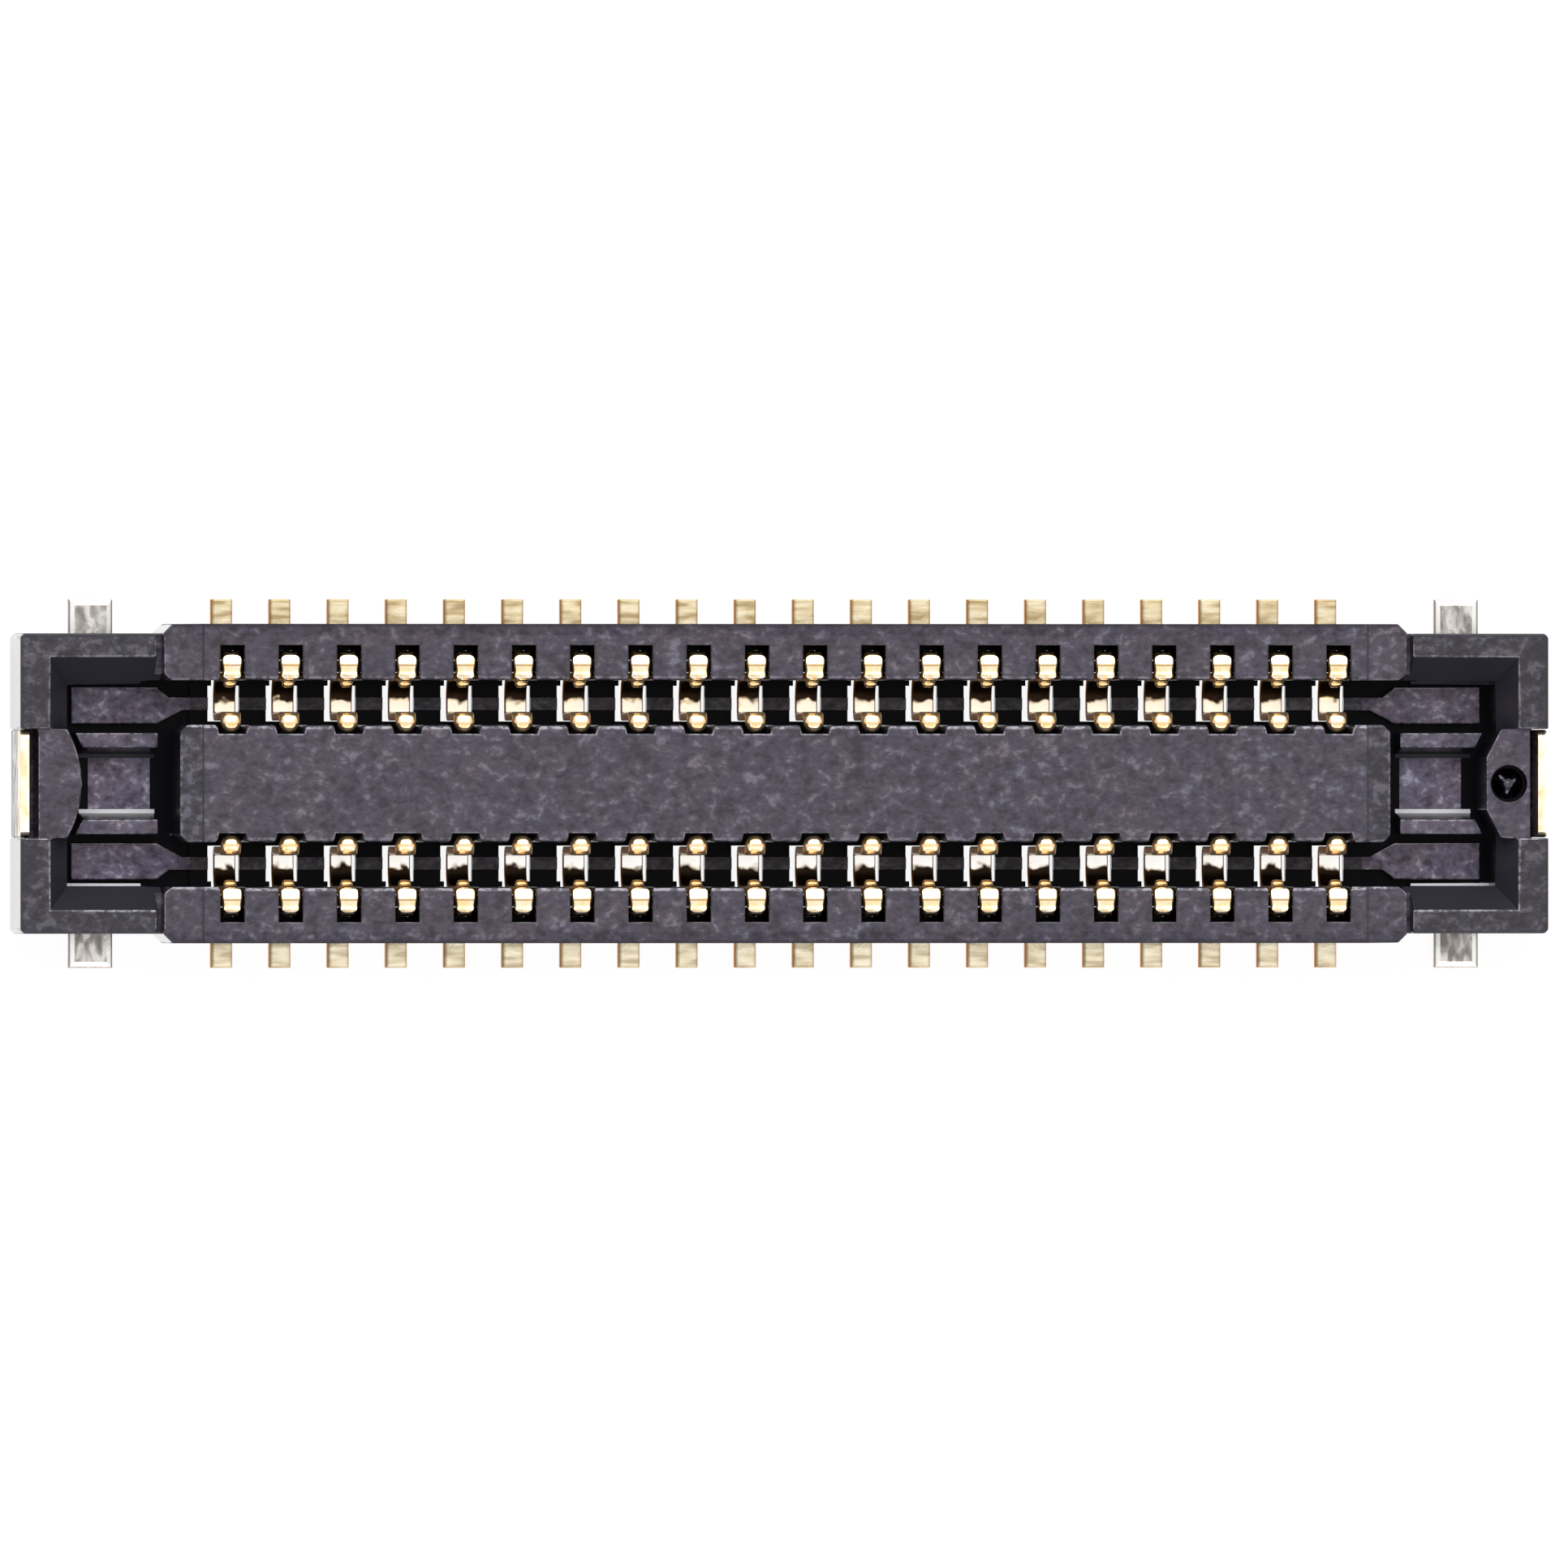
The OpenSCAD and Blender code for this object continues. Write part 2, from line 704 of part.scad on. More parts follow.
// Section of a flat sheet on the board, with a border pressed down along both upper edges
module pressed_sheet(half) {
    polygon([
        [-half, 0], [half, 0], [half, sheet_t - tab_press], [half - tab_border, sheet_t],
        [tab_border - half, sheet_t], [-half, sheet_t - tab_press]
    ]);
}

// Face of the end plate, with rounded upper corners
module end_plate_outline() {
    half = end_plate_w / 2;
    centre_y = half - end_plate_corner;
    centre_z = end_plate_top - end_plate_corner;
    translate([-half, 0])
        square([end_plate_w, centre_z]);
    translate([-centre_y, 0])
        square([2 * centre_y, end_plate_top]);
    for (side = [-1, 1])
        translate([side * centre_y, centre_z])
            circle(end_plate_corner);
}

module hold_down_right() {
    hold_down();
}

module hold_down_left() {
    mirror([1, 0, 0]) hold_down();
}

housing();
hold_down_left();
hold_down_right();
for (i = [1:contacts_per_row]) {
    contact(i, 1);
    contact(i, -1);
}
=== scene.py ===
"""Looks of the board to board socket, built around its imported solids.

Lengths are named in millimetres and built in metres."""

import math

import bmesh
import bpy
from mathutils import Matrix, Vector, noise


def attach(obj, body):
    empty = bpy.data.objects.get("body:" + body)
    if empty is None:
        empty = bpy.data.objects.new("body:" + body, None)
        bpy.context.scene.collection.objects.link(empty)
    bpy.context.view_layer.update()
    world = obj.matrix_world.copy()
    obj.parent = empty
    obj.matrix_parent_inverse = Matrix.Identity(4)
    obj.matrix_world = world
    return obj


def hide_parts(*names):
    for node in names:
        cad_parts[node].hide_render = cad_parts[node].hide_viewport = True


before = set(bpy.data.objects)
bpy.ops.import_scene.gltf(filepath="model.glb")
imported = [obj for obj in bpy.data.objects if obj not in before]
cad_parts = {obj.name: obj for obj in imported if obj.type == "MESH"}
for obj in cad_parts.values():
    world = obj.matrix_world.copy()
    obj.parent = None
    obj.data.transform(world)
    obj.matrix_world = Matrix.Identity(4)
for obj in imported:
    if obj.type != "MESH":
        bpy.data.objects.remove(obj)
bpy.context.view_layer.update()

MM = 0.001

# Contact strip, close to the part's source
CONTACTS = 20
PITCH = 0.40
STRIP_T = 0.06
TAIL_W = 0.15
SPRING_W = 0.14
BARB_W = 0.165
TAIL_END = 1.26
BEND_Y = 0.955
BEND_R = 0.08
BARB_Z = 0.20
BARB_H = 0.10
BARB_STEP = 0.003
HUMP_Z = 0.707
HUMP_R = 0.048
HUMP_FLAT = 0.052
U_Z = 0.23
U_OUT_R = 0.160
U_IN_R = 0.032
U_FLAT = 0.075
U_W = 0.15
TIP_Z = 0.654
TIP_R = 0.046
TIP_LEN = 0.062
BEAD_Z = 0.60
BEAD_HALF = 0.0447
BEAD_OUT = 0.04
BEAD_W = 0.074

# Rounding of the strip, with its tilt in degrees
STRIP_ROLL = 0.014
TIP_ROLL = 0.036
STRIP_BURR = 0.006
SEATED_BURR = 0.001
BARB_PRESS = 0.004
TAIL_ROUND = 0.006
TAIL_RIM = 0.018
TIP_ROUND = 0.075
# Width of the painted shade lines at the hump's creases
CREASE_W = 0.006
CROWN_TILT = 22.0
CROWN_R = 0.12
BROW_R = 0.036
HUMP_BACK_Y = 0.848
HUMP_FRONT_Y = 0.740
HUMP_CORNER = 0.028
HUMP_WAIST = 0.009
WAIST_RUN = 0.03
NOSE_TAPER = 0.85

# Painted light and shade on the strip: their places, then their shares
# Place of the painted reflection on the U's foot
FOOT_SET = 0.08
FOOT_REACH = 0.15
# Place of the painted glints on the lobes
LOBE_V = 0.036
LOBE_W = 0.02
LOBE_RUN = 0.06
# Place and share of the painted shade on the tails' left side
SHADE_V = 0.048
SHADE_W = 0.022
SHADE_SHARE = 0.85
# Shares of the painted shade round the tail's rim and at the creases
RIM_SHARE = 0.8
CREASE_SHARP = 0.9
CREASE_FAINT = 0.7
# Shares of the painted warm reflection on the bead and tip
WARM_UPPER = 0.15
WARM_LOWER = 0.95
WARM_TIP = 0.36

# Moulding
ROW_HALF = 4.0
WALL_HALF = 4.27
GROOVE_FLOOR_HALF = 4.03
GROOVE_FLOOR_Z = 0.165
LOW_FLOOR_Z = 0.10
ISLAND_HALF = 0.40
ISLAND_END_X = 4.45
SEAM_W = 0.012
POCKET_Y = 0.735
SEAT_Y = 0.945
RIB_Y = 0.545
RIB_W = 0.085
RIB_Z = 0.19
FOOT_SLOPE_Z = 0.20
PLINTH_Z = 0.40
BOSS_Z = 0.73
FRAME_OUT_X = 5.25
FRAME_OUT_Y = 1.025
WALL_OUT_Y = 1.09
RIM_W = 0.035
EDGE_R = 0.012
EDGE_ROOM = 2.2
EDGE_FROM = 28.0
FLAT_WITHIN = 1.0
CURVE_FROM = 0.5
CURVE_TO = 12.0
MERGE = 0.0002
SOFT = 0.002
GATE_X = 4.98
GATE_R = 0.127
GATE_FLOOR_Z = 0.65
SCAR_R = 0.105
SCAR_ARM = 0.03
SCAR_H = 0.055
SCAR_ARMS = ((140, 1.0), (25, 0.8), (265, 0.95))
SCAR_RINGS = 16
SCAR_SPOKES = 60
SCAR_GRAIN = 45.0
SCAR_SEED = 3.7

# Hold-downs
TAB_X = 4.70
TAB_HALF = 0.15
TAB_TOP_Z = 0.10
PLATE_EDGE_Z = 0.55

# Lamps: name, azimuth, elevation, width and height in metres, radiance
LAMPS = (("key", 0, 31, 0.62, 0.56, 2.8),
         ("key_high", 0, 68, 0.42, 0.26, 2.6),
         ("fill_left", 205, 38, 0.20, 0.56, 2.4),
         ("fill_right", 155, 38, 0.20, 0.56, 2.4))
LAMP_DISTANCE = 0.6
FLOOR_HALF = 3.0

# Camera, as the photograph was taken
CAMERA_TILT = 6.4
CAMERA_AIM = (0.0, -0.003, 0.658)
CAMERA_DISTANCE = 400.0
CAMERA_FIELD = 10.71


def new_object(name, data):
    obj = bpy.data.objects.new(name, data)
    bpy.context.scene.collection.objects.link(obj)
    return obj


# Node helpers

class Nodes:
    """Short calls for building one material's nodes."""

    def __init__(self, material):
        material.use_nodes = True
        self.tree = material.node_tree
        self.tree.nodes.clear()

    def add(self, kind, inputs=None, **settings):
        node = self.tree.nodes.new(kind)
        for key, value in settings.items():
            setattr(node, key, value)
        for key, value in (inputs or {}).items():
            self.put(node.inputs[key], value)
        return node

    def put(self, socket, value):
        if isinstance(value, bpy.types.NodeSocket):
            self.tree.links.new(value, socket)
        else:
            socket.default_value = value

    def math(self, operation, a, b=0.0):
        return self.add("ShaderNodeMath", {0: a, 1: b}, operation=operation).outputs[0]

    def times(self, *values):
        product = values[0]
        for value in values[1:]:
            product = self.math("MULTIPLY", product, value)
        return product

    def rest(self, value):
        """What a mask leaves."""
        return self.math("SUBTRACT", 1.0, value)

    def either(self, *values):
        """Largest of several values."""
        most = values[0]
        for value in values[1:]:
            most = self.math("MAXIMUM", most, value)
        return most

    def size(self, value):
        """Value without its sign."""
        return self.math("ABSOLUTE", value)

    def blend(self, *pairs):
        """Weighted sum of (value, weight) pairs."""
        total = self.times(*pairs[0])
        for pair in pairs[1:]:
            total = self.math("ADD", total, self.times(*pair))
        return total

    def step(self, value, low, high):
        """Smooth rise from zero at low to one at high; low above high makes it a fall."""
        node = self.add("ShaderNodeMapRange", {"Value": value, "From Min": low, "From Max": high},
                        interpolation_type="SMOOTHSTEP")
        return node.outputs["Result"]

    def step_mm(self, value, low, high):
        """Step of a length, with its ends in millimetres."""
        return self.step(value, low * MM, high * MM)

    def ramp(self, value, stops):
        node = self.add("ShaderNodeValToRGB", {"Fac": value})
        elements = node.color_ramp.elements
        while len(elements) < len(stops):
            elements.new(0.5)
        for element, (place, colour) in zip(elements, stops):
            element.position = place
            element.color = (*colour, 1.0)
        return node.outputs["Color"]

    def grey(self, value, stops):
        return self.ramp(value, [(place, (level, level, level)) for place, level in stops])

    def mix(self, factor, a, b):
        node = self.add("ShaderNodeMix", data_type="RGBA")
        self.put(node.inputs[0], factor)
        self.put(node.inputs[6], a)
        self.put(node.inputs[7], b)
        return node.outputs[2]

    def noise(self, vector, scale, detail=2.0, roughness=0.5, distortion=0.0):
        node = self.add("ShaderNodeTexNoise", {"Vector": vector, "Scale": scale, "Detail": detail,
                                               "Roughness": roughness, "Distortion": distortion})
        return node.outputs["Fac"]

    def scaled(self, vector, scale):
        node = self.add("ShaderNodeMapping", {"Vector": vector, "Scale": scale})
        return node.outputs["Vector"]

    def axes(self, vector):
        return self.add("ShaderNodeSeparateXYZ", {"Vector": vector}).outputs

    def attribute(self, name):
        return self.add("ShaderNodeAttribute", attribute_name=name).outputs["Fac"]

    def bump(self, height, strength, distance):
        node = self.add("ShaderNodeBump", {"Height": height, "Strength": strength,
                                           "Distance": distance})
        return node.outputs["Normal"]

    def principled(self, colour, roughness, normal, **inputs):
        node = self.add("ShaderNodeBsdfPrincipled", {"Base Color": colour, "Roughness": roughness,
                                                     "Normal": normal, **inputs})
        self.output(node.outputs[0])

    def output(self, shader):
        out = self.add("ShaderNodeOutputMaterial")
        self.tree.links.new(shader, out.inputs["Surface"])


# Materials

def moulded_plastic():
    """Black moulding: mottled skin on the level faces, smooth slopes, rubbed pale lips with a painted
    highlight on those facing the key; painted shade in the hollows, on the rib, steep faces and outer
    rims; sunk faces painted lighter, and foot slopes painted as highlight and shade.
    """
    material = bpy.data.materials.new("moulded_plastic")
    n = Nodes(material)
    place = n.add("ShaderNodeTexCoord").outputs["Object"]
    x, y, z = n.axes(place)
    out_x, out_y = n.size(x), n.size(y)
    normal = n.axes(n.add("ShaderNodeNewGeometry").outputs["Normal"])
    facing = normal[2]
    smear = n.noise(n.scaled(place, (0.95, 1.05, 1.0)), 11500.0, 3.0, 0.55, 0.35)
    cloud = n.noise(place, 2600.0, 2.0, 0.5)
    speck = n.noise(n.scaled(place, (0.9, 1.1, 1.0)), 26000.0, 1.0, 0.5, 0.3)
    grain = n.noise(place, 70000.0, 2.0, 0.6)
    tone = n.blend((smear, 0.6), (cloud, 0.15), (speck, 0.25))

    # Painted shade: floors and hollows painted near-black
    low = n.step_mm(z, LOW_FLOOR_Z + 0.014, LOW_FLOOR_Z + 0.006)
    along_rows = n.step_mm(out_x, GROOVE_FLOOR_HALF + 0.004, GROOVE_FLOOR_HALF)
    groove = n.times(along_rows, n.step_mm(z, GROOVE_FLOOR_Z + 0.016, GROOVE_FLOOR_Z + 0.008))
    in_plan = n.scaled(place, (1.0, 1.0, 0.0))
    off_gate = n.add("ShaderNodeVectorMath", {0: in_plan, 1: (GATE_X * MM, 0.0, 0.0)},
                     operation="DISTANCE").outputs["Value"]
    gate = n.times(n.step_mm(off_gate, GATE_R + SOFT, GATE_R - SOFT),
                   n.step_mm(z, GATE_FLOOR_Z + 0.045, GATE_FLOOR_Z + 0.025))
    off_rib = n.size(n.math("SUBTRACT", out_y, RIB_Y * MM))
    notch = n.times(along_rows, n.step_mm(z, RIB_Z + 0.05, RIB_Z + 0.02),
                    n.step_mm(off_rib, RIB_W / 2 + SOFT, RIB_W / 2 + 3 * SOFT))
    upward = n.step(facing, 0.90, 0.985)
    pocket = n.times(along_rows, n.step_mm(out_y, POCKET_Y - SOFT, POCKET_Y + SOFT),
                     n.step_mm(out_y, SEAT_Y + 0.016, SEAT_Y + 0.012))
    deep = n.times(pocket, n.step_mm(z, BOSS_Z + 0.01, BOSS_Z))
    shaded_hollow = n.either(n.times(n.either(low, groove, notch), upward), gate, deep)
    level = n.times(upward, n.rest(shaded_hollow))

    # Skin of the level faces, and the slopes; sunk faces painted lighter against the walls' shade, the
    # rib painted darker as shade, steep faces painted near-black as shade
    sunk_lift = n.step_mm(z, PLINTH_Z + 0.16, RIB_Z)
    frame_top = n.times(n.step_mm(out_x, WALL_HALF - SOFT, WALL_HALF + SOFT),
                        n.step_mm(z, BOSS_Z + 0.01, BOSS_Z + 0.02))
    rib_shade = n.times(along_rows, n.step_mm(z, RIB_Z + 0.05, RIB_Z + 0.02))
    island_end = n.times(n.step_mm(out_x, ROW_HALF - 0.01, ROW_HALF + 0.01),
                         n.step_mm(out_y, ISLAND_HALF + 0.01, ISLAND_HALF),
                         n.step_mm(z, BOSS_Z - 0.01, BOSS_Z),
                         n.step_mm(out_x, ISLAND_END_X + 0.05, ISLAND_END_X))
    # Painted light on the sunk faces against the walls' shade, painted shade on the rib
    gain = n.math("ADD", 1.0, n.blend((sunk_lift, 2.4), (rib_shade, -2.5), (frame_top, -0.47),
                                      (island_end, -0.36)))
    ends = n.either(frame_top, island_end)
    uneven = n.math("ADD", n.times(n.math("SUBTRACT", tone, 0.5), 0.9), -0.02)
    skin = n.ramp(n.math("ADD", tone, n.times(ends, uneven)),
                  [(0.38, (0.018, 0.014, 0.022)), (0.47, (0.043, 0.035, 0.052)),
                   (0.55, (0.060, 0.050, 0.072)), (0.64, (0.150, 0.137, 0.170))])
    tint = n.ramp(n.noise(place, 4200.0, 2.0, 0.6),
                  [(0.38, (1.06, 0.99, 0.96)), (0.62, (0.96, 1.0, 1.06))])
    skin = n.add("ShaderNodeVectorMath", {0: skin, 1: tint}, operation="MULTIPLY").outputs[0]
    lift = n.add("ShaderNodeVectorMath", {0: skin, "Scale": gain}, operation="SCALE").outputs[0]
    # Painted shade: steep faces near-black, slopes a little lighter
    slope = n.times(n.step(facing, 0.3, 0.4), n.rest(upward))
    colour = n.mix(level, n.mix(slope, (0.008, 0.008, 0.013, 1.0), (0.030, 0.029, 0.040, 1.0)), lift)

    # Rubbed lips with a painted highlight towards the key, foot slopes painted as highlight and shade,
    # seams, and outer rims painted as shade
    inside = n.times(n.step_mm(out_y, FRAME_OUT_Y - 0.02, FRAME_OUT_Y - 0.04),
                     n.step_mm(out_x, FRAME_OUT_X - 0.03, FRAME_OUT_X - 0.05))
    edge = n.times(n.step(facing, 0.64, 0.68), n.step(facing, 0.985, 0.95), inside)
    rubbed = n.step(n.blend((smear, 0.4), (speck, 0.6)), 0.42, 0.58)
    edge = n.times(edge, n.rest(n.times(pocket, 0.9)))
    # Painted highlight: faces turned towards the key are painted paler
    key_lit = n.step(normal[1], 0.1, 0.5)
    rubbed_and_lit = n.mix(key_lit, (0.22, 0.20, 0.25, 1.0), (0.42, 0.40, 0.46, 1.0))
    colour = n.mix(n.times(edge, n.math("ADD", n.times(rubbed, 0.85), 0.15)), colour, rubbed_and_lit)
    # Painted highlight and shade: foot slopes white towards the key, near-black away from it
    foot = n.times(n.step(facing, 0.80, 0.83), n.step(facing, 0.90, 0.88),
                   n.step_mm(z, FOOT_SLOPE_Z + 0.02, FOOT_SLOPE_Z))
    colour = n.mix(foot, colour, n.mix(key_lit, (0.010, 0.010, 0.014, 1.0), (0.95, 0.94, 0.97, 1.0)))
    # Painted shade: floors, hollows, the gate's recess and the pockets painted near-black
    colour = n.mix(shaded_hollow, colour, (0.004, 0.004, 0.006, 1.0))
    off_row = n.size(n.math("SUBTRACT", out_x, ROW_HALF * MM))
    seam = n.times(n.step_mm(off_row, SEAM_W, SEAM_W / 3),
                   n.step_mm(z, BOSS_Z + 0.01, BOSS_Z + 0.03))
    colour = n.mix(n.times(seam, 0.75), colour, (0.010, 0.008, 0.013, 1.0))
    # Painted shade along the outer rims of the level faces
    along_wall = n.step_mm(out_x, WALL_HALF + SOFT, WALL_HALF - SOFT)
    reach = n.math("ADD", n.times(along_wall, (WALL_OUT_Y - FRAME_OUT_Y) * MM), FRAME_OUT_Y * MM)
    rim_shade = n.either(n.step_mm(n.math("SUBTRACT", reach, out_y), RIM_W, 0.2 * RIM_W),
                   n.step_mm(out_x, FRAME_OUT_X - RIM_W, FRAME_OUT_X - 0.2 * RIM_W))
    colour = n.mix(n.times(rim_shade, level, 0.7), colour, (0.010, 0.008, 0.014, 1.0))

    # Gloss of the end faces, duller long sides
    outside = n.either(n.step_mm(out_x, FRAME_OUT_X - 0.02, FRAME_OUT_X - 0.01),
                       n.step_mm(out_y, FRAME_OUT_Y - 0.02, FRAME_OUT_Y - 0.01))
    endwise = n.step(n.size(normal[0]), 0.3, 0.5)
    gloss = n.times(outside, n.step(facing, 0.3, 0.1), endwise)
    long_side = n.times(outside, n.rest(endwise))
    bare = n.mix(n.either(edge, long_side), (0.22, 0.22, 0.22, 1.0), (0.5, 0.5, 0.5, 1.0))
    rough = n.mix(level, bare, n.grey(tone, [(0.40, 0.55), (0.62, 0.36)]))
    within = n.times(n.rest(outside), n.rest(upward))
    # Specular is lowered in the shaded hollows as part of their painted shade
    shine = n.math("SUBTRACT", 0.5, n.blend((shaded_hollow, 0.46), (within, 0.2), (level, 0.14),
                                            (long_side, 0.1)))
    height = n.times(n.blend((smear, 1.0), (speck, 0.5), (grain, 0.15)),
                     n.math("ADD", n.times(level, 0.95), 0.05))
    n.principled(colour, rough, n.bump(height, 0.6, 0.012 * MM),
                 **{"IOR": 1.55, "Specular IOR Level": shine, "Coat Weight": gloss,
                    "Coat Roughness": 0.08})
    return material


def gold_plate():
    """Thin gold on a copper alloy strip, with orange rolled edges that are bare sheared metal and a
    painted warm reflection, a rougher zone painted dark as shade down in the housing, and painted
    glints, reflections and shade lines.
    """
    material = bpy.data.materials.new("gold_plate")
    n = Nodes(material)
    own = n.add("ShaderNodeObjectInfo").outputs["Random"]
    shift = n.add("ShaderNodeCombineXYZ", {"X": n.times(own, 0.01), "Y": n.times(own, 0.007), "Z": 0.0})
    place = n.add("ShaderNodeVectorMath", {0: n.add("ShaderNodeTexCoord").outputs["Object"],
                                           1: shift.outputs[0]}, operation="ADD").outputs[0]
    stain = n.noise(place, 15000.0, 3.0, 0.6, 0.6)
    grain = n.noise(n.scaled(place, (3.0, 0.5, 0.5)), 30000.0, 2.0, 0.6)
    plate = n.ramp(stain, [(0.32, (0.95, 0.66, 0.32)), (0.50, (1.0, 0.80, 0.50)),
                           (0.68, (1.0, 0.91, 0.72))])
    bands = n.noise(n.scaled(place, (0.3, 1.6, 0.3)), 14000.0, 1.0, 0.5)
    tail = n.ramp(bands, [(0.34, (0.44, 0.32, 0.16)), (0.48, (0.78, 0.64, 0.39)),
                          (0.66, (0.98, 0.88, 0.64))])
    upper_row = n.attribute("upper_row")
    # Painted light and shade: upper row's tails painted darker, lower row's paler
    tail = n.mix(n.times(upper_row, 0.25), tail, (0.60, 0.48, 0.30, 1.0))
    tail = n.mix(n.times(n.rest(upper_row), 0.30), tail, (1.0, 0.95, 0.80, 1.0))
    colour = n.mix(n.attribute("tail"), plate, tail)
    # Painted highlight: glints on the lobes
    colour = n.mix(n.attribute("lobe_glint"), colour, (1.0, 0.98, 0.93, 1.0))
    # Painted reflection on the U's foot, broken up by noise
    patch = n.noise(place, 11000.0, 1.0, 0.5, 0.4)
    foot_reflection = n.math("ADD", n.attribute("foot"), n.times(n.math("SUBTRACT", patch, 0.5), 0.9))
    foot_reflection = n.step(foot_reflection, 0.32, 0.62)
    # Painted shade down in the housing, on the lower leg and on the tails' left side
    shaded_share = n.times(n.attribute("shade_zone"), n.rest(foot_reflection))
    colour = n.mix(shaded_share, colour, (0.022, 0.014, 0.010, 1.0))
    # Painted warm reflection on the bead and tip
    colour = n.mix(n.attribute("warm_reflection"), colour, (0.95, 0.50, 0.18, 1.0))
    # Colour of the painted reflection on the foot
    foot = n.mix(upper_row, (1.0, 0.98, 0.95, 1.0), (1.0, 0.86, 0.70, 1.0))
    colour = n.mix(foot_reflection, colour, foot)
    # Painted shade lines at the hump's creases and round the tail
    colour = n.mix(n.attribute("crease_shade"), colour, (0.36, 0.21, 0.09, 1.0))
    # Orange rolled edges: bare sheared metal and a painted warm reflection
    edge = n.attribute("sheared_and_reflected")
    colour = n.mix(edge, colour, (0.86, 0.38, 0.09, 1.0))
    rough = n.blend((n.grey(stain, [(0.3, 0.26), (0.7, 0.16)]), 1.0), (edge, 0.18), (shaded_share, 0.25))
    normal = n.bump(n.blend((grain, 0.8), (stain, 1.6)), 0.3, 0.0025 * MM)
    metal = n.rest(n.blend((edge, 0.4), (n.attribute("warm_reflection"), 0.35)))
    n.principled(colour, rough, normal, Metallic=metal)
    return material


def tin_plate():
    """Tin on a rolled sheet: pressed borders painted bright as a highlight, streaked flats, painted
    shade on the upright faces and tab outlines by the board, warm sheared edges.
    """
    material = bpy.data.materials.new("tin_plate")
    n = Nodes(material)
    place = n.add("ShaderNodeTexCoord").outputs["Object"]
    x, y, z = n.axes(place)
    facing = n.axes(n.add("ShaderNodeNewGeometry").outputs["Normal"])[2]
    streak = n.noise(n.scaled(place, (1.3, 0.55, 1.0)), 13000.0, 2.0, 0.5, 0.5)
    grain = n.noise(place, 60000.0, 2.0, 0.6)
    flat = n.ramp(streak, [(0.36, (0.23, 0.21, 0.19)), (0.50, (0.41, 0.38, 0.355)),
                           (0.64, (0.69, 0.66, 0.63))])
    # Painted highlight on the tilted pressed borders
    lit_border = n.times(n.step(facing, 0.985, 0.96), n.step(facing, 0.80, 0.88))
    colour = n.mix(lit_border, flat, (0.96, 0.95, 0.92, 1.0))
    at_board = n.step_mm(z, TAB_TOP_Z + 0.1, TAB_TOP_Z)
    # Painted shade on the tabs' upright sides by the board
    shaded_upright = n.times(n.step(n.size(facing), 0.5, 0.3), at_board)
    colour = n.mix(n.times(shaded_upright, 0.85), colour, (0.13, 0.08, 0.08, 1.0))
    off_tab = n.size(n.math("SUBTRACT", n.size(x), TAB_X * MM))
    # Painted shade outlining the tabs
    rim_shade = n.either(n.step_mm(off_tab, TAB_HALF - 0.016, TAB_HALF - 0.006),
                   n.step_mm(n.size(y), TAIL_END - 0.016, TAIL_END - 0.006))
    colour = n.mix(n.times(rim_shade, at_board, 0.8), colour, (0.16, 0.10, 0.09, 1.0))
    raised = n.step_mm(z, PLATE_EDGE_Z - 0.05, PLATE_EDGE_Z)
    warm = n.ramp(streak, [(0.36, (0.86, 0.60, 0.36)), (0.50, (1.0, 0.88, 0.66)),
                           (0.64, (1.0, 0.96, 0.86))])
    colour = n.mix(raised, colour, warm)
    rough = n.grey(streak, [(0.3, 0.36), (0.7, 0.22)])
    normal = n.bump(n.blend((streak, 1.0), (grain, 0.3)), 0.35, 0.005 * MM)
    n.principled(colour, rough, normal, Metallic=1.0)
    return material


# Contacts

